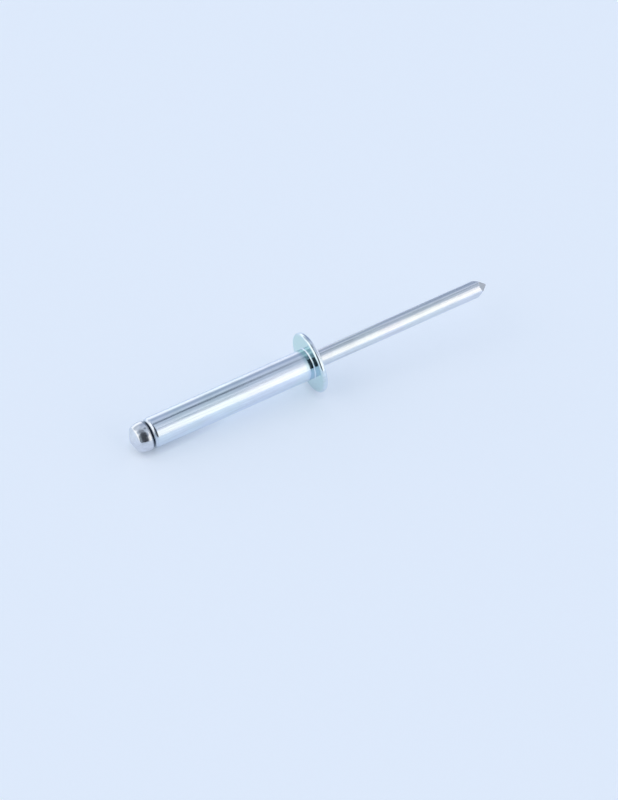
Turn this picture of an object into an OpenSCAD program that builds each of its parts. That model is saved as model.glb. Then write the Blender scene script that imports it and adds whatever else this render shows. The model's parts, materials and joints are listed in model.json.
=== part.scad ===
// Blind rivet with a domed flange and its pull mandrel, zinc plated steel, lying at rest.
//
// The rivet is drawn along its own axis with the flange's seat face at zero: the shank and the
// mandrel head lie on the negative side, the flange crown and the mandrel stem on the positive side.
// lie_down() then puts it on the floor: the flange rim and the mandrel head touch z = 0, the stem
// points along +X and rises a little, and x = 0 and y = 0 are the middle of the whole thing.

/* [Shank] */
// Diameter of the shank
shank_d = 4.8; // [4:0.05:6.4]
// Length of the shank under the flange
shank_length = 27; // [10:0.5:50]
// Radius that rounds the outer edge of the shank's open end
shank_end_round = 0.75; // [0.2:0.05:0.8]

/* [Flange] */
// Diameter of the flange
flange_d = 9.6; // [8:0.1:14]
// Thickness of the flange at its rim
flange_rim = 0.85; // [0.75:0.05:1.1]
// Height of the flange's crown, measured at the axis
flange_crown = 1.3; // [1.2:0.05:2]
// Radius on the rim's edge next to the seat face
rim_seat_round = 0.35; // [0.1:0.05:0.4]
// Radius on the rim's edge next to the crown
rim_crown_round = 0.45; // [0.2:0.05:0.5]
// Radius of the fillet between the shank and the seat face
seat_fillet = 0.15; // [0.05:0.05:0.4]
// Radius on the edge of the hole where the stem comes out of the crown
hole_round = 0.12; // [0.05:0.01:0.2]

/* [Stem] */
// Diameter of the mandrel's stem
stem_d = 2.7; // [2.3:0.05:2.9]
// Gap all round between the stem and the bore that it runs in
bore_gap = 0.06; // [0.02:0.01:0.1]
// How far the stem reaches past the seat face, to the very point
stem_reach = 30.75; // [20:0.25:45]
// Length of the point's two long facets, along the stem
point_long = 2; // [1:0.1:4]
// Length of the point's two short facets, along the stem
point_short = 1.5; // [0.8:0.1:3]
// Width of the blunt end that the cutting leaves
point_blunt = 0.14; // [0.05:0.01:0.4]
// Turn about the axis of the point's short facets, from straight up and down
cut_turn = 43; // [0:1:90]

/* [Break neck] */
// Distance of the neck's middle from the underside of the mandrel head
neck_place = 1.8; // [1:0.1:4]
// Depth of each of the two crimps
neck_depth = 0.5; // [0.2:0.05:0.7]
// Width of a crimp at the stem's surface
neck_width = 1.3; // [0.6:0.1:1.8]
// Width of a crimp at its bottom
neck_floor = 0.3; // [0.1:0.05:0.5]

/* [Mandrel head] */
// Largest diameter of the head
head_d = 4.74; // [4:0.02:6.3]
// Radius that rounds the head's underside
head_back_round = 0.55; // [0.2:0.05:0.6]
// Length of the bulging side, from the largest diameter to the shoulder
head_side = 1.5; // [0.8:0.1:3]
// Diameter of the head at the shoulder, where the side ends
head_shoulder_d = 4.15; // [3.6:0.05:4.3]
// Radius of the shoulder
head_shoulder_round = 0.4; // [0.3:0.05:1]
// Slope of the blunt nose, from square to the axis
nose_slope = 24; // [10:1:30]
// Radius that rounds the nose's middle
nose_round = 0.8; // [0.3:0.1:2]

/* [Hidden] */
$fn = 96;
zinc_bright = [0.80, 0.84, 0.90];
zinc_stem = [0.76, 0.80, 0.86];
arc_step = 6;
arc_length = 0.3;
seam_turn = 180;
over = 1;

shank_r = shank_d / 2;
flange_r = flange_d / 2;
stem_r = stem_d / 2;
bore_r = stem_r + bore_gap;
head_r = head_d / 2;
shoulder_r = head_shoulder_d / 2;

// The round at the shank's open end stays inside the wall between the bore and the outside.
end_round = min(shank_end_round, (shank_r - bore_r) * 0.85);

// Radius of the crown's sphere: it passes the crown on the axis and the rim's full thickness.
crown_rise = flange_crown - flange_rim;
crown_sphere = (flange_r * flange_r + crown_rise * crown_rise) / (2 * crown_rise);
crown_middle = [0, flange_crown - crown_sphere];

// The rim's crown side is rounded by a circle that touches the rim and the inside of the sphere.
rim_round_r = flange_r - rim_crown_round;
rim_round_z = crown_middle.y
    + sqrt(pow(crown_sphere - rim_crown_round, 2) - rim_round_r * rim_round_r);
rim_slope = asin(rim_round_r / (crown_sphere - rim_crown_round));

// The same at the hole in the crown, but this circle lies on the stem's side.
hole_round_r = bore_r + hole_round;
hole_round_z = crown_middle.y
    + sqrt(pow(crown_sphere - hole_round, 2) - hole_round_r * hole_round_r);
hole_slope = asin(hole_round_r / (crown_sphere - hole_round));

// The head's side bulges as an arc from the largest diameter to the shoulder.
side_drop = head_r - shoulder_r;
side_round = (head_side * head_side + side_drop * side_drop) / (2 * side_drop);
side_slope = asin(head_side / side_round);
side_middle = [head_r - side_round, -shank_length - head_back_round];
shoulder_middle = side_middle
    + (side_round - head_shoulder_round) * [cos(side_slope), -sin(side_slope)];
nose_edge = shoulder_middle
    + head_shoulder_round * [sin(nose_slope), -cos(nose_slope)];
nose_touch_r = nose_round * sin(nose_slope);
nose_middle = [
    0,
    nose_edge.y - (nose_edge.x - nose_touch_r) * tan(nose_slope) + nose_round * cos(nose_slope)
];
nose_end = nose_middle.y - nose_round;

// At rest the flange rim carries one end and the mandrel head or the shank's end the other:
// three circles of the half section, each as [place along the axis, radius from it, own radius].
rim_foot = [rim_seat_round, flange_r - rim_seat_round, rim_seat_round];
head_foot = [side_middle.y, side_middle.x, side_round];
shank_foot = [-shank_length + end_round, shank_r - end_round, end_round];
function lean(a, b) =
    let (d = [a[0] - b[0], a[1] - b[1]])
    atan2(d.y, d.x) + asin((a[2] - b[2]) / norm(d));
rest_tilt = min(lean(rim_foot, head_foot), lean(rim_foot, shank_foot));
rest_height = rim_foot[1] * cos(rest_tilt) + rim_foot[2] - rim_foot[0] * sin(rest_tilt);
rest_middle = (stem_reach + nose_end) / 2 * cos(rest_tilt);

// Points of an arc about a centre, from one angle to another, in steps of a few degrees or, on a
// large arc, of a short length.
function arc(middle, r, from, to) =
    let (
        turn = abs(to - from),
        n = max(2, ceil(turn / arc_step), ceil(turn / 180 * PI * r / arc_length))
    )
    [for (i = [0:n]) middle + r * [
        cos(from + (to - from) * i / n),
        sin(from + (to - from) * i / n)
    ]];

// Half section of the body: up the bore, over the crown, round the rim, down the seat and shank.
body_section = concat(
    [[bore_r, -shank_length]],
    arc([hole_round_r, hole_round_z], hole_round, 180, 90 - hole_slope),
    arc(crown_middle, crown_sphere, 90 - hole_slope, 90 - rim_slope),
    arc([rim_round_r, rim_round_z], rim_crown_round, 90 - rim_slope, 0),
    arc([flange_r - rim_seat_round, rim_seat_round], rim_seat_round, 0, -90),
    arc([shank_r + seat_fillet, -seat_fillet], seat_fillet, 90, 180),
    arc([shank_r - end_round, -shank_length + end_round], end_round, 0, -90)
);

// Half section of the mandrel as it was headed, before the point and the neck are cut.
mandrel_section = concat(
    [[0, stem_reach], [stem_r, stem_reach], [stem_r, -shank_length]],
    arc([head_r - head_back_round, -shank_length - head_back_round], head_back_round, 90, 0),
    arc(side_middle, side_round, 0, -side_slope),
    arc(shoulder_middle, head_shoulder_round, -side_slope, nose_slope - 90),
    arc(nose_middle, nose_round, nose_slope - 90, -90)
);

module lie_down() {
    translate([-rest_middle, 0, rest_height])
        rotate([0, -rest_tilt, 0])
            rotate([0, 90, 0])
                children();
}

// One facet of the point: a block whose lower face slopes from the stem's side to the blunt end.
module point_cut(facet_length) {
    slope = atan((stem_r - point_blunt / 2) / facet_length);
    translate([stem_r, 0, stem_reach - facet_length])
        rotate([0, -slope, 0])
            translate([0, -stem_d, -over])
                cube([stem_d, 2 * stem_d, 2 * facet_length + stem_d + over]);
}

// One crimp of the break neck: a trapezium pressed in from the side.
module neck_crimp() {
    translate([0, stem_d, -shank_length + neck_place])
        rotate([90, 0, 0])
            linear_extrude(2 * stem_d)
                polygon([
                    [stem_r - neck_depth, -neck_floor / 2],
                    [stem_r - neck_depth, neck_floor / 2],
                    [stem_r, neck_width / 2],
                    [stem_r + over, neck_width / 2],
                    [stem_r + over, -neck_width / 2],
                    [stem_r, -neck_width / 2]
                ]);
}

module rivet_body() {
    color(zinc_bright)
        lie_down()
            rotate(seam_turn)
                rotate_extrude()
                    polygon(body_section);
}

module mandrel() {
    color(zinc_stem)
        lie_down()
            difference() {
                rotate_extrude()
                    polygon(mandrel_section);
                for (side = [0, 180])
                    rotate(cut_turn + side) {
                        point_cut(point_short);
                        rotate(90)
                            point_cut(point_long);
                        neck_crimp();
                    }
            }
}

rivet_body();
mandrel();
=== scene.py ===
# %% [markdown]
# # A zinc plated blind rivet
# A blind rivet is two pieces of steel. The body is a tube with a domed flange, and the mandrel is a
# headed wire that runs through it. A tool grips the long stem and pulls, the bulging head spreads
# the end of the tube, and the wire snaps at a neck inside. This one is new and lies on a pale blue
# sheet, resting on the rim of its flange and on the mandrel's head.
#
# Both pieces come finished in shape from the CAD model. What is left for Blender is what the eye
# meets first on such a part: bright plating that shows a blurred picture of the studio round it.

# %% Load the fixed frame
import json
import math

import bpy
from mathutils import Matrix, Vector

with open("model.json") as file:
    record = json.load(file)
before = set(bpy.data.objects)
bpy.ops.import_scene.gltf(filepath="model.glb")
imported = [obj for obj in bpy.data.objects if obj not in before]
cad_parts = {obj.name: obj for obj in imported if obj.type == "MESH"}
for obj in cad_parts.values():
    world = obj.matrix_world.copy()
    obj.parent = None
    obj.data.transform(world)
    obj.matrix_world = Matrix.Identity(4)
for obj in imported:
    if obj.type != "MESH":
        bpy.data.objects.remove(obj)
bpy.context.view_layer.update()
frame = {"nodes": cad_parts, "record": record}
body_steel = frame["nodes"]["rivet_body"]
mandrel_steel = frame["nodes"]["mandrel"]
print("nodes:", sorted(frame["nodes"]))

# %% [markdown]
# ## Where the rivet's own axis lies
# The patterns on the plating follow the rivet's axis, which is not level: the flange is wider than
# the head, so the stem rises by about five degrees. The record's seat mount holds the direction,
# and the shank mount holds a point of the axis, so nothing has to be measured or typed again.

# %% Find the axis in the record
mounts = {m["name"]: m for m in frame["record"]["mounts"]}
axis_dir = -Vector(mounts["seat"]["axis"]).normalized()
axis_point = Vector(mounts["shank"]["pos_m"])
seat_along = (Vector(mounts["seat"]["pos_m"]) - axis_point).dot(axis_dir)
seat_centre = axis_point + seat_along * axis_dir
axis_tilt = math.atan2(axis_dir.z, axis_dir.x)
print("tilt in degrees:", round(math.degrees(axis_tilt), 3))
print("seat centre in mm:", [round(1000 * x, 3) for x in seat_centre])

# %% [markdown]
# ## The camera
# The photograph was taken from the front left and from well above, with a long lens, so the lines
# along the rivet hardly run together. The camera looks at a point a little in front of the rivet,
# because the rivet lies above the middle of the picture. Aiming does this without a lens shift, so
# the camera also stays true when it is moved round the object.

# %% Place the camera
PICTURE_WIDTH, PICTURE_HEIGHT = 618, 800
SEAT_COLUMN, SEAT_ROW = 307.7, 363.5
CAMERA_AZIMUTH = math.radians(-29.02)
CAMERA_ELEVATION = math.radians(42.31)
CAMERA_DISTANCE_M = 0.828
LENS_MM = 250.0
SENSOR_MM = 36.0
PIXEL_M = SENSOR_MM / LENS_MM * CAMERA_DISTANCE_M / PICTURE_HEIGHT

toward_camera = Vector((
    math.sin(CAMERA_AZIMUTH) * math.cos(CAMERA_ELEVATION),
    -math.cos(CAMERA_AZIMUTH) * math.cos(CAMERA_ELEVATION),
    math.sin(CAMERA_ELEVATION),
))
camera_turn = toward_camera.to_track_quat("Z", "Y")
picture_right = camera_turn @ Vector((1, 0, 0))
picture_up = camera_turn @ Vector((0, 1, 0))
# The seat's centre is to show in its own column and row of the picture.
aim = seat_centre + PIXEL_M * ((PICTURE_WIDTH / 2 - SEAT_COLUMN) * picture_right
                               + (SEAT_ROW - PICTURE_HEIGHT / 2) * picture_up)

camera = bpy.data.objects.new("camera", bpy.data.cameras.new("camera"))
bpy.context.scene.collection.objects.link(camera)
camera.data.lens = LENS_MM
camera.data.sensor_width = SENSOR_MM
camera.location = aim + CAMERA_DISTANCE_M * toward_camera
camera.rotation_mode = "QUATERNION"
camera.rotation_quaternion = camera_turn
bpy.context.scene.camera = camera
bpy.context.scene.view_settings.view_transform = "Standard"
print("one pixel is", round(1e6 * PIXEL_M, 1), "micrometres at the rivet")

# %% [markdown]
# ## Small helpers for node trees
# A node tree is built from the same few steps again and again, so each gets a short name here. A
# colour is written as it looks on screen, from 0 to 255, and changed to Blender's linear values by
# the formula of the sRGB standard.

# %% Colours and nodes
def tone(red, green, blue):
    """A screen colour as linear red, green, blue and alpha."""
    linear = [
        c / 12.92 if c <= 0.04045 else ((c + 0.055) / 1.055) ** 2.4
        for c in (red / 255, green / 255, blue / 255)
    ]
    return (*linear, 1.0)


def add(tree, kind, inputs=None, **settings):
    """A new node, with its settings and the values or links of its inputs."""
    node = tree.nodes.new(kind)
    for name, value in settings.items():
        setattr(node, name, value)
    for key, value in (inputs or {}).items():
        if isinstance(value, bpy.types.NodeSocket):
            tree.links.new(value, node.inputs[key])
        else:
            node.inputs[key].default_value = value
    return node


print("a mid grey on screen is", round(tone(128, 128, 128)[0], 3), "in linear light")

# %% [markdown]
# A mask is a number between 0 and 1 that says where a colour shows. A soft step makes the simplest
# mask, two steps make a band, and masks that are multiplied overlap.

# %% Arithmetic, masks and blends
def calc(tree, operation, a, b=0.0, c=0.0):
    """One step of arithmetic on numbers."""
    return add(tree, "ShaderNodeMath", {0: a, 1: b, 2: c}, operation=operation).outputs[0]


def times(tree, first, *others):
    """The product of numbers or masks."""
    for other in others:
        first = calc(tree, "MULTIPLY", first, other)
    return first


def step_up(tree, value, start, end):
    """A soft step from 0 at the start to 1 at the end."""
    return add(tree, "ShaderNodeMapRange", {0: value, 1: start, 2: end, 3: 0.0, 4: 1.0},
               interpolation_type="SMOOTHSTEP").outputs[0]


def band(tree, value, rise, fall):
    """A mask that goes up over the pair of values called rise, and down again over fall."""
    return times(tree, step_up(tree, value, *rise), step_up(tree, value, *fall))


def blend_colour(tree, mask, a, b):
    """Colour a where the mask is 0, and colour b where it is 1."""
    return add(tree, "ShaderNodeMix", {0: mask, 6: a, 7: b}, data_type="RGBA").outputs[2]


print("helpers ready")

# %% [markdown]
# ## The studio, painted as light directions
# Bright metal has hardly a colour of its own: what shows in it is the room. So the room is the real
# material here. A product photographer builds a small tent of white panels and leaves a gap for the
# camera. The world below paints that tent by direction: every direction has an azimuth, counted
# from the front towards the right, and a height above the horizon, both in degrees.

# %% Begin the world
world = bpy.data.worlds.new("studio")
bpy.context.scene.world = world
world.use_nodes = True
sky = world.node_tree
sky.nodes.clear()

# In a world, the Generated coordinate is the direction in which a ray leaves the scene.
direction = add(sky, "ShaderNodeTexCoord").outputs["Generated"]
rightward, backward, upward = add(sky, "ShaderNodeSeparateXYZ", {0: direction}).outputs
forward = calc(sky, "MULTIPLY", backward, -1.0)
azimuth = calc(sky, "DEGREES", calc(sky, "ARCTAN2", rightward, forward))
height = calc(sky, "DEGREES", calc(sky, "ARCSINE", upward))
print("directions split into azimuth and height")

# %% [markdown]
# A tube mirrors the room in a special way: every point of one line along it shows the same narrow
# ring of directions round the tube's own axis. Two more numbers describe that ring. The lean is the
# angle from the ring's plane towards the mandrel's point, and it grows slowly along the rivet. The
# turn goes round the axis, from straight above (0) towards the back. A thing that is painted for
# only some leans shows only on one stretch of the rivet, so the leans of its ends are printed.

# %% Two more numbers for directions, in the rivet's own frame
MILLIMETRE = 0.001


def share_of(own_direction):
    """How far a direction goes along one of the rivet's own, from -1 to 1."""
    return add(sky, "ShaderNodeVectorMath", {0: direction, 1: own_direction},
               operation="DOT_PRODUCT").outputs["Value"]


axis_up = Vector((-axis_dir.z, 0, axis_dir.x))
lean = calc(sky, "DEGREES", calc(sky, "ARCSINE", share_of(axis_dir)))
turn = calc(sky, "DEGREES", calc(sky, "ARCTAN2", backward, share_of(axis_up)))
for place, along_mm in (("the tube's open end", -27), ("the flange", 0), ("the point", 30.75)):
    sight = (seat_centre + MILLIMETRE * along_mm * axis_dir - camera.location).normalized()
    print("lean that", place, "mirrors:", round(math.degrees(math.asin(sight.dot(axis_dir))), 1))

# %% [markdown]
# A panel is a window of azimuth and height, the product of four steps. Its sides are sharp or soft
# as a real panel's edge looks from the rivet: a hard board close by, or cloth whose light falls off
# slowly. Panels are painted from the back of the room to the front, each over the last. A colour
# above 1 is a light, brighter than white paper.

# %% The back wall and the ceiling
BOTTOM_SOFT = 2.0
BACK_WALL, CEILING, HIGH_PATCH = tone(176, 188, 209), tone(199, 209, 222), tone(206, 216, 230)


def panel(azimuths, heights, side_soft, top_soft):
    """A mask that is 1 inside a window of azimuth and height, with soft edges."""
    (left, right), (bottom, top) = azimuths, heights
    return times(sky,
                 step_up(sky, azimuth, left - side_soft, left + side_soft),
                 step_up(sky, azimuth, right + side_soft, right - side_soft),
                 step_up(sky, height, bottom - BOTTOM_SOFT, bottom + BOTTOM_SOFT),
                 step_up(sky, height, top + top_soft, top - top_soft))


def paint(base, *layers):
    """A colour with layers painted over it, each a mask and a colour, the last one in front."""
    for mask, colour in layers:
        base = blend_colour(sky, mask, base, colour)
    return base


room = paint(
    BACK_WALL,
    (step_up(sky, height, 46, 70), CEILING),
    (panel((137, 160), (52, 70), side_soft=5, top_soft=5), HIGH_PATCH))
print("wall and ceiling:", len(sky.nodes), "nodes")

# %% What stands low along the back
LOW_LIGHT, DIM_WALL, PALE_CORNER = (1.25, 1.27, 1.30, 1), tone(150, 166, 188), tone(212, 220, 231)

# A low strip of light stands behind the tube and goes on to the left.
behind_tube = times(sky, step_up(sky, azimuth, 150, 160), step_up(sky, lean, 18.3, 17.3))
far_left = step_up(sky, azimuth, -120, -150)
low_strip = times(sky, calc(sky, "MAXIMUM", behind_tube, far_left), step_up(sky, height, 38, 16))
# Behind the stem the wall is darker low down.
behind_stem = times(sky, step_up(sky, lean, 18.2, 18.7), step_up(sky, height, 50, 30),
                    step_up(sky, azimuth, 125, 140))
# The corner at the back left is paler up to half its height.
left_corner = panel((-182, -140), (20, 56), side_soft=3, top_soft=5)
room = paint(room, (low_strip, LOW_LIGHT), (behind_stem, DIM_WALL), (left_corner, PALE_CORNER))
print("low things at the back:", len(sky.nodes), "nodes")

# %% The side wall on the right, and two long things under the ceiling
SIDE_WALL, SIDE_LIGHT = tone(202, 211, 224), (1.12, 1.10, 1.08, 1)
DARK_BAR, LIGHT_EDGE = tone(58, 75, 95), tone(228, 236, 245)
LEFT_END_LEANS = (5, 12)


def long_thing(turns_rise, turns_fall, right_end_leans):
    """A mask for a thing that hangs along the rivet, between two turns and two leans."""
    return times(sky, band(sky, turn, turns_rise, turns_fall),
                 step_up(sky, lean, *right_end_leans), step_up(sky, lean, *LEFT_END_LEANS))


room = paint(
    room,
    # The side wall is lit low down and grey above.
    (panel((30, 122), (-4, 64), side_soft=12, top_soft=14), SIDE_WALL),
    (panel((30, 118), (-4, 30), side_soft=14, top_soft=6), SIDE_LIGHT),
    # A dark bar hangs above, a little to the back, and fades out along the tube.
    (long_thing((-1.0, 3.0), (17.0, 12.0), right_end_leans=(17.5, 16.2)), DARK_BAR),
    # A light edge runs along the ceiling, a little to the front, and fades out past the flange.
    (long_thing((-34, -29), (-15, -22), right_end_leans=(18.2, 17.4)), LIGHT_EDGE))
print("side wall and long things:", len(sky.nodes), "nodes")

# %% [markdown]
# In front of these stand the board overhead, the white panel on the left and the dark opening for
# the camera, which is paler where only the head's round nose mirrors it. The key panel on the right
# of the opening comes last: it makes the brightest stripe along the tube and the stem.

# %% The overhead board, the left panel and the opening
WHITE_PANEL = (1.38, 1.35, 1.30, 1)
OVERHEAD, OPENING, OPENING_EDGE = tone(132, 140, 151), tone(28, 36, 48), tone(142, 152, 160)

opening_tone = blend_colour(sky, step_up(sky, lean, -24, -19.5), OPENING_EDGE, OPENING)
room = paint(
    room,
    (panel((-150, -8), (66, 92), side_soft=16, top_soft=4), OVERHEAD),
    (panel((-140, -60), (-4, 58), side_soft=8, top_soft=4), WHITE_PANEL),
    (panel((-56, 7), (-30, 74), side_soft=3.5, top_soft=5), opening_tone))
print("board, panel and opening:", len(sky.nodes), "nodes")

# %% The key panel
KEY_TOP_LEANS, KEY_TOP_HEIGHTS, KEY_TOP_SOFT = (15.4, 18.6), (36.0, 60.0), 7.0
FAINT_BY = 0.4

# The top edge slopes: it stands higher for the stem's end of the rivet.
key_top = add(sky, "ShaderNodeMapRange", {
    0: lean, 1: KEY_TOP_LEANS[0], 2: KEY_TOP_LEANS[1],
    3: KEY_TOP_HEIGHTS[0], 4: KEY_TOP_HEIGHTS[1]}).outputs[0]
over_top = calc(sky, "SUBTRACT", height, key_top)
key = times(sky, panel((8, 44), (-4, 80), side_soft=2.5, top_soft=2),
            step_up(sky, over_top, KEY_TOP_SOFT, -KEY_TOP_SOFT))
# Near the tube's open end the panel is fainter low down.
faint = times(sky, band(sky, lean, rise=(13.8, 14.6), fall=(16.3, 15.8)),
              step_up(sky, height, 36, 10))
key = times(sky, key, calc(sky, "MULTIPLY_ADD", faint, -FAINT_BY, 1.0))
room = paint(room, (key, WHITE_PANEL))
print("key panel:", len(sky.nodes), "nodes")

# %% [markdown]
# The camera itself sees the plain pale blue of the sheet going on for ever, not the tent. The light
# path node tells the rays of the camera from those that light the object or mirror in it.

# %% Finish the world
SHEET_BLUE = tone(220, 231, 250)
seen = add(sky, "ShaderNodeBackground", {"Color": SHEET_BLUE}).outputs[0]
felt = add(sky, "ShaderNodeBackground", {"Color": room}).outputs[0]
from_camera = add(sky, "ShaderNodeLightPath").outputs["Is Camera Ray"]
both = add(sky, "ShaderNodeMixShader", {0: from_camera, 1: felt, 2: seen})
add(sky, "ShaderNodeOutputWorld", {0: both.outputs[0]})
print("world nodes:", len(sky.nodes))

# %% [markdown]
# ## The sheet under the rivet
# The real rivet lies on a smooth pale blue sheet that glows a little, as thin plastic does over a
# light. So its shadow is soft and weak, yet close under the tube it is plain to see. A little more
# than half of the sheet's brightness is light that falls on it and that the rivet can shade. The
# rest is its own glow, which only the camera and mirror-like surfaces see, so it throws no light on
# the rivet. Far off the sheet is seen at a flat angle and mirrors the bright panels, which gives
# the tube's underside its light edge. The plane isn't part of the object.

# %% Lay the sheet
SHEET_SIDE_M = 12.0
PAPER_COLOUR, PAPER_GLOW = (0.617, 0.639, 0.712, 1), (0.305, 0.366, 0.432, 1)

bpy.ops.mesh.primitive_plane_add(size=SHEET_SIDE_M, location=(0, 0, 0))
sheet = bpy.context.object
sheet.name = "sheet"
paper = bpy.data.materials.new("pale_blue_sheet")
paper.use_nodes = True
paper_tree = paper.node_tree
paper_shader = paper_tree.nodes["Principled BSDF"]
for socket, value in (("Base Color", PAPER_COLOUR), ("Roughness", 0.4),
                      ("Specular IOR Level", 0.35), ("Emission Color", PAPER_GLOW)):
    paper_shader.inputs[socket].default_value = value
sheet.data.materials.append(paper)
print("sheet:", sheet.dimensions[:])

# %% [markdown]
# Close under the rivet, half of the glow fades where the metal is within about a millimetre. This
# is painted shade, a contact shadow added to the real one. An Ambient Occlusion node finds those
# places.

# %% Let the sheet glow
CONTACT_M, CONTACT_SAMPLES = 0.0012, 8
PAINTED_SHADE_SHARE = 0.5

rays = add(paper_tree, "ShaderNodeLightPath").outputs
glow = calc(paper_tree, "MAXIMUM", rays["Is Camera Ray"], rays["Is Glossy Ray"])
glow = calc(paper_tree, "MAXIMUM", glow, rays["Is Transmission Ray"])
free = add(paper_tree, "ShaderNodeAmbientOcclusion", {"Distance": CONTACT_M},
           samples=CONTACT_SAMPLES).outputs["AO"]
# Painted shade: the glow is darkened close under the rivet, a contact shadow added to the real one.
painted_contact_shade = calc(paper_tree, "MULTIPLY_ADD", free, PAINTED_SHADE_SHARE, 1.0 - PAINTED_SHADE_SHARE)
paper_tree.links.new(times(paper_tree, glow, painted_contact_shade), paper_shader.inputs["Emission Strength"])
print("sheet nodes:", len(paper_tree.nodes))

# %% [markdown]
# ## Coordinates that follow the rivet
# Lines from drawing run along the tube, and a stain sits near the seat face: both belong to the
# rivet's own axis, not to the room. A Mapping node of the texture kind moves the origin to the
# seat's middle and turns X onto the axis. From there come three numbers in millimetres: the place
# along the axis, the distance from it, and a stretched position for patterns that are long and
# thin.

# %% A node group for the rivet's own coordinates
STRETCH = 0.035


def new_group(name, inputs, outputs):
    """An empty node group with named sockets, and its two end nodes."""
    group = bpy.data.node_groups.new(name, "ShaderNodeTree")
    for label, kind, value in inputs:
        socket = group.interface.new_socket(label, in_out="INPUT", socket_type=kind)
        socket.default_value = value
    for label, kind in outputs:
        group.interface.new_socket(label, in_out="OUTPUT", socket_type=kind)
    return group, add(group, "NodeGroupInput"), add(group, "NodeGroupOutput")


COLOUR, VALUE, VECTOR = "NodeSocketColor", "NodeSocketFloat", "NodeSocketVector"
own_axis, _, own_out = new_group("rivet_own_axis", [], [
    ("Along", VALUE), ("Radius", VALUE), ("Lengthwise", VECTOR), ("Place", VECTOR)])
turned = add(own_axis, "ShaderNodeMapping", {
    "Vector": add(own_axis, "ShaderNodeTexCoord").outputs["Object"], "Location": seat_centre,
    "Rotation": (0, -axis_tilt, 0), "Scale": (MILLIMETRE, MILLIMETRE, MILLIMETRE)},
    vector_type="TEXTURE").outputs[0]
xyz = add(own_axis, "ShaderNodeSeparateXYZ", {0: turned})
flat = add(own_axis, "ShaderNodeVectorMath", {0: turned, 1: (0, 1, 1)}, operation="MULTIPLY")
radius = add(own_axis, "ShaderNodeVectorMath", {0: flat.outputs[0]}, operation="LENGTH")
thin = add(own_axis, "ShaderNodeVectorMath", {0: turned, 1: (STRETCH, 1, 1)}, operation="MULTIPLY")
for label, value in (("Along", xyz.outputs[0]), ("Radius", radius.outputs["Value"]),
                     ("Lengthwise", thin.outputs[0]), ("Place", turned)):
    own_axis.links.new(value, own_out.inputs[label])
print("group:", own_axis.name, [item.name for item in own_axis.interface.items_tree])

# %% [markdown]
# ## What shows on bright zinc
# Zinc plate with a clear blue passivation is nearly a mirror. Four things keep it from looking like
# glass: fine lines from drawing, a haze that comes and goes over a few millimetres, a faint change
# of hue where the passivation is thicker, and a few nicks from the barrel that the rivets are
# plated in. One group makes all four, so both pieces share them at their own strengths.

# %% A node group for the plating
FINE_SHARE, BROAD_SHARE = 0.6, 0.4

plating, plate_in, plate_out = new_group("zinc_plating", [
    ("Tint", COLOUR, (0.72, 0.79, 0.83, 1)), ("Second Tint", COLOUR, (0.70, 0.80, 0.80, 1)),
    ("Lengthwise", VECTOR, (0, 0, 0)), ("Place", VECTOR, (0, 0, 0)),
    ("Lines", VALUE, 1.0), ("Haze", VALUE, 0.1), ("Nicks", VALUE, 1.0),
], [("Colour", COLOUR), ("Roughness", VALUE), ("Height", VALUE)])
given = plate_in.outputs


def noise(vector, scale, detail, rough=0.5):
    """Smooth noise between 0 and 1 on the plating, with a scale per millimetre."""
    return add(plating, "ShaderNodeTexNoise", {
        "Vector": vector, "Scale": scale, "Detail": detail, "Roughness": rough}).outputs[0]


fine = noise(given["Lengthwise"], scale=5.5, detail=3.0, rough=0.6)
broad = noise(given["Lengthwise"], scale=1.6, detail=2.0)
lines = calc(plating, "MULTIPLY_ADD", fine, FINE_SHARE, times(plating, broad, BROAD_SHARE))
# Noise swings round a half, so the half is taken off to make lines that are lighter or darker.
lines = times(plating, calc(plating, "SUBTRACT", lines, 0.5), given["Lines"])
cloud = noise(given["Place"], scale=0.45, detail=3.0)
hue = noise(given["Place"], scale=0.17, detail=1.0)
grain = noise(given["Place"], scale=14.0, detail=2.0)
print("noises:", len(plating.nodes))

# %% [markdown]
# A nick is the middle of a Voronoi cell, frayed by the fine grain. The lines, nicks and clouds then
# each change the tint, the roughness and the height of the surface by their own small amounts.

# %% Nicks, and the colour of the plating
CELLS_PER_MM = 0.6
LINES_LIGHTEN, NICKS_DARKEN, CLOUDS_DARKEN, CLEAR_SHADE = 0.35, 0.35, 0.10, 1.05

cells = add(plating, "ShaderNodeTexVoronoi", {"Vector": given["Place"], "Scale": CELLS_PER_MM})
nick = times(plating, step_up(plating, cells.outputs["Distance"], 0.07, 0.03),
             step_up(plating, grain, 0.45, 0.6), given["Nicks"])
tint = blend_colour(plating, step_up(plating, hue, 0.4, 0.62), given["Tint"],
                    given["Second Tint"])
shade = calc(plating, "MULTIPLY_ADD", lines, LINES_LIGHTEN,
             calc(plating, "MULTIPLY_ADD", nick, -NICKS_DARKEN, 1.0))
shade = times(plating, shade, calc(plating, "MULTIPLY_ADD", cloud, -CLOUDS_DARKEN, CLEAR_SHADE))
shaded = add(plating, "ShaderNodeVectorMath", {0: tint, 3: shade}, operation="SCALE")
print("plating nodes for colour:", len(plating.nodes))

# %% Roughness and height of the plating
CLOUDS_ROUGHEN, LINES_ROUGHEN, NICKS_ROUGHEN = 0.05, 0.12, 0.2
LINES_RAISE, NICKS_SINK, GRAIN_RAISES = 0.5, 0.6, 0.05

haze = calc(plating, "MULTIPLY_ADD", step_up(plating, cloud, 0.3, 0.75), CLOUDS_ROUGHEN,
            given["Haze"])
haze = calc(plating, "MULTIPLY_ADD", lines, LINES_ROUGHEN, haze)
haze = calc(plating, "MULTIPLY_ADD", nick, NICKS_ROUGHEN, haze)
relief = calc(plating, "MULTIPLY_ADD", nick, -NICKS_SINK, times(plating, lines, LINES_RAISE))
relief = calc(plating, "MULTIPLY_ADD", grain, GRAIN_RAISES, relief)
for label, value in (("Colour", shaded.outputs[0]), ("Roughness", haze), ("Height", relief)):
    plating.links.new(value, plate_out.inputs[label])
print("plating nodes:", len(plating.nodes))

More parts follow.
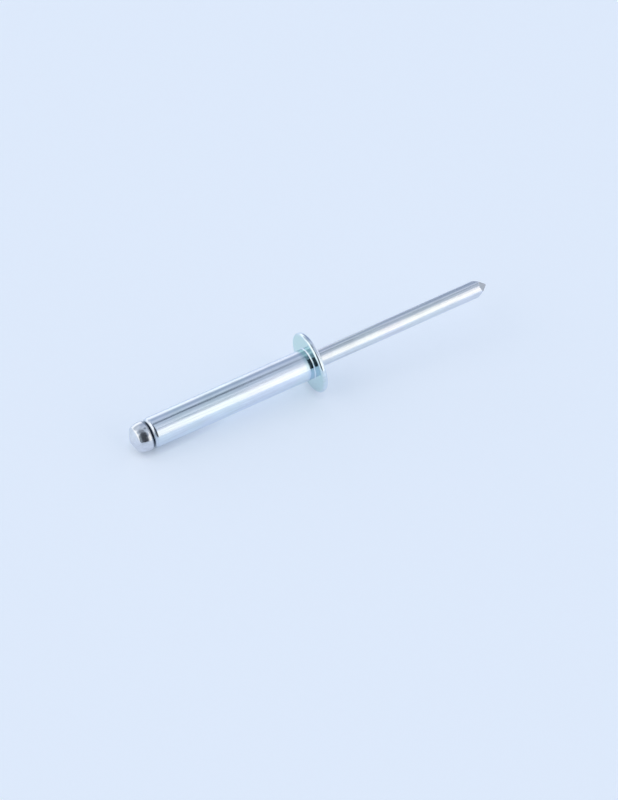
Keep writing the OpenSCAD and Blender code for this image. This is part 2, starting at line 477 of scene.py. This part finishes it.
# %% [markdown]
# Each piece gets a Principled shader of full metal. The two groups stand in front of it, and a Bump
# node turns the plating's height into a very shallow relief, a few micrometres deep.

# %% A zinc material with its groups in place
RELIEF_STRENGTH, RELIEF_M = 0.25, 0.00003


def zinc(name, tint, second_tint, lines, haze, nicks):
    """A zinc material: its tree, its shader, and the outputs of the axis and plating groups."""
    material = bpy.data.materials.new(name)
    material.use_nodes = True
    tree = material.node_tree
    shader = tree.nodes["Principled BSDF"]
    shader.inputs["Metallic"].default_value = 1.0
    own = add(tree, "ShaderNodeGroup", node_tree=own_axis).outputs
    plate = add(tree, "ShaderNodeGroup", {
        "Tint": tint, "Second Tint": second_tint, "Lines": lines, "Haze": haze, "Nicks": nicks,
        "Lengthwise": own["Lengthwise"], "Place": own["Place"]}, node_tree=plating).outputs
    bump = add(tree, "ShaderNodeBump", {
        "Height": plate["Height"], "Strength": RELIEF_STRENGTH, "Distance": RELIEF_M})
    tree.links.new(bump.outputs[0], shader.inputs["Normal"])
    return material, tree, shader, own, plate


body_zinc, tree, shader, own, plate = zinc(
    "zinc_body_bright", tint=(0.72, 0.78, 0.88, 1), second_tint=(0.70, 0.79, 0.86, 1),
    lines=1.6, haze=0.10, nicks=1.0)
body_steel.data.materials[0] = body_zinc
print("material:", body_zinc.name)

# %% [markdown]
# ## Zinc on the body
# The flange's seat face has a blue green stain. The last millimetre and a half of the tube is
# painted a darker blue green, darkest on the upper side: painted shade and a painted reflection of
# the seat face in the corner. Each mirror image between tube and flange takes the stain twice, so
# the corner looks deep. The rolled end of the tube is duller, and the narrow groove between it and
# the mandrel's head is painted dark: painted shade in the gap.
# All places are in millimetres: along the axis from the seat face, or out from the axis.

# %% The seat's stain, and painted shade in the corner under the flange
SEAT_STAIN, CORNER_SHADE_LOW, CORNER_SHADE_TOP = (
    (0.61, 0.80, 0.77, 1), (0.56, 0.68, 0.86, 1), (0.36, 0.54, 0.62, 1))
CORNER_SHADE_WEIGHT = 0.8
STAIN_AT_BOTTOM = 0.65

along, radius = own["Along"], own["Radius"]
upper = add(tree, "ShaderNodeSeparateXYZ", {0: own["Place"]}).outputs[2]
# The stain is stronger on the upper half, and it keeps clear of the fillet and the rim.
strength = calc(tree, "MULTIPLY_ADD", step_up(tree, upper, -1.5, 1.0), 1.0 - STAIN_AT_BOTTOM,
                STAIN_AT_BOTTOM)
on_seat = band(tree, along, rise=(-0.3, -0.06), fall=(0.5, 0.3))
stain = times(tree, on_seat, strength, band(tree, radius, rise=(2.5, 2.6), fall=(5.0, 4.3)))
tint = blend_colour(tree, stain, plate["Colour"], SEAT_STAIN)
# Painted shade and a painted reflection of the seat face: the tube next to the flange is a darker
# blue green, darkest on the upper side.
near_corner = band(tree, along, rise=(-1.5, -0.6), fall=(-0.08, -0.2))
painted_corner_shade = blend_colour(tree, step_up(tree, upper, 0.4, 1.6), CORNER_SHADE_LOW, CORNER_SHADE_TOP)
tint = blend_colour(tree, times(tree, near_corner, CORNER_SHADE_WEIGHT), tint, painted_corner_shade)
print("body nodes for the stain:", len(tree.nodes))

# %% The tube's dull end, and painted shade in the groove
DULL_END, GAP_SHADE = (0.45, 0.50, 0.56, 1), (0.22, 0.26, 0.31, 1)
DULL_WEIGHT, DULL_ROUGHENS = 0.15, 0.16

tube_end = step_up(tree, along, -26.2, -26.8)
tint = blend_colour(tree, times(tree, tube_end, DULL_WEIGHT), tint, DULL_END)
# Painted shade: the inner edge of the tube's end, in the gap by the mandrel's head, is coloured
# dark.
painted_groove_shade = times(tree, tube_end, step_up(tree, radius, 2.25, 1.9))
tint = blend_colour(tree, painted_groove_shade, tint, GAP_SHADE)
rough = calc(tree, "MULTIPLY_ADD", tube_end, DULL_ROUGHENS, plate["Roughness"])
tree.links.new(tint, shader.inputs["Base Color"])
tree.links.new(rough, shader.inputs["Roughness"])
print("body nodes:", len(tree.nodes))

# %% [markdown]
# ## Zinc on the mandrel
# The mandrel is wire, so its lines are stronger, and its plate is a little greyer. Its point was
# cut off after plating, so the facets are a duller steel. The underside of its head and the stem
# inside the tube are painted dark, painted shade like that in the groove. The upset head has a
# milky film, so its dark mirror images are never quite black.

# %% Material of the mandrel
CUT_STEEL, CUT_WEIGHT, CUT_ROUGHENS = (0.34, 0.37, 0.41, 1), 0.85, 0.15
UNDER_HEAD_SHADE = (0.25, 0.28, 0.33, 1)
MILKY_BY = 0.09

mandrel_zinc, tree, shader, own, plate = zinc(
    "zinc_mandrel_bright", tint=(0.72, 0.75, 0.82, 1), second_tint=(0.71, 0.76, 0.80, 1),
    lines=2.0, haze=0.13, nicks=0.8)
along, radius = own["Along"], own["Radius"]
tip = times(tree, step_up(tree, along, 28.6, 28.9), step_up(tree, radius, 1.34, 1.28))
tint = blend_colour(tree, times(tree, tip, CUT_WEIGHT), plate["Colour"], CUT_STEEL)
# Painted shade: the underside of the head and the stem inside the tube are coloured dark.
painted_shade_under_head = band(tree, along, rise=(-27.5, -27.2), fall=(-20, -22))
tint = blend_colour(tree, painted_shade_under_head, tint, UNDER_HEAD_SHADE)
rough = calc(tree, "MULTIPLY_ADD", tip, CUT_ROUGHENS, plate["Roughness"])
on_head = step_up(tree, along, -27.0, -27.3)
metal = calc(tree, "MULTIPLY_ADD", on_head, -MILKY_BY, 1.0)
for socket, value in (("Base Color", tint), ("Roughness", rough), ("Metallic", metal)):
    tree.links.new(value, shader.inputs[socket])
mandrel_steel.data.materials[0] = mandrel_zinc
print("mandrel nodes:", len(tree.nodes))

# %% [markdown]
# ## Smooth shading over the short flat bands
# The CAD model draws every round edge as short flat bands. A mirror shows each band as its own
# step, so the pieces get smooth shading. A group of geometry nodes first joins the loose triangles,
# then keeps an edge sharp only where the faces meet at more than 28 degrees, as at the crimps and
# the point. The Weighted Normal modifier then lets large flat faces keep their own direction up to
# their borders. Nothing moves: only the way that light is worked out changes.

# %% A group that joins and smooths
JOIN_M = 1e-6
SHARP_FROM = math.radians(28)

smoother = bpy.data.node_groups.new("join_and_smooth", "GeometryNodeTree")
for way in ("INPUT", "OUTPUT"):
    smoother.interface.new_socket("Geometry", in_out=way, socket_type="NodeSocketGeometry")
loose = add(smoother, "NodeGroupInput").outputs[0]
joined = add(smoother, "GeometryNodeMergeByDistance", {"Geometry": loose, "Distance": JOIN_M})
plain = add(smoother, "GeometryNodeRemoveAttribute", {
    "Geometry": joined.outputs[0], "Name": "custom_normal"})
faces = add(smoother, "GeometryNodeSetShadeSmooth", {"Geometry": plain.outputs[0]}, domain="FACE")
bend = add(smoother, "GeometryNodeInputMeshEdgeAngle").outputs["Unsigned Angle"]
gentle = add(smoother, "FunctionNodeCompare", {0: bend, 1: SHARP_FROM},
             data_type="FLOAT", operation="LESS_THAN").outputs[0]
edges = add(smoother, "GeometryNodeSetShadeSmooth", {
    "Geometry": faces.outputs[0], "Shade Smooth": gentle}, domain="EDGE")
add(smoother, "NodeGroupOutput", {0: edges.outputs[0]})
print("group:", smoother.name, len(smoother.nodes), "nodes")

# %% Smooth both pieces
LARGE_FACES_WEIGHT = 60

for piece in (body_steel, mandrel_steel):
    piece.modifiers.new("join_and_smooth", "NODES").node_group = smoother
    weighted = piece.modifiers.new("large_faces_lead", "WEIGHTED_NORMAL")
    weighted.keep_sharp = True
    weighted.weight = LARGE_FACES_WEIGHT
    shown = piece.evaluated_get(bpy.context.evaluated_depsgraph_get()).data
    print(piece.name, "points:", len(piece.data.vertices), "loose,", len(shown.vertices), "joined")
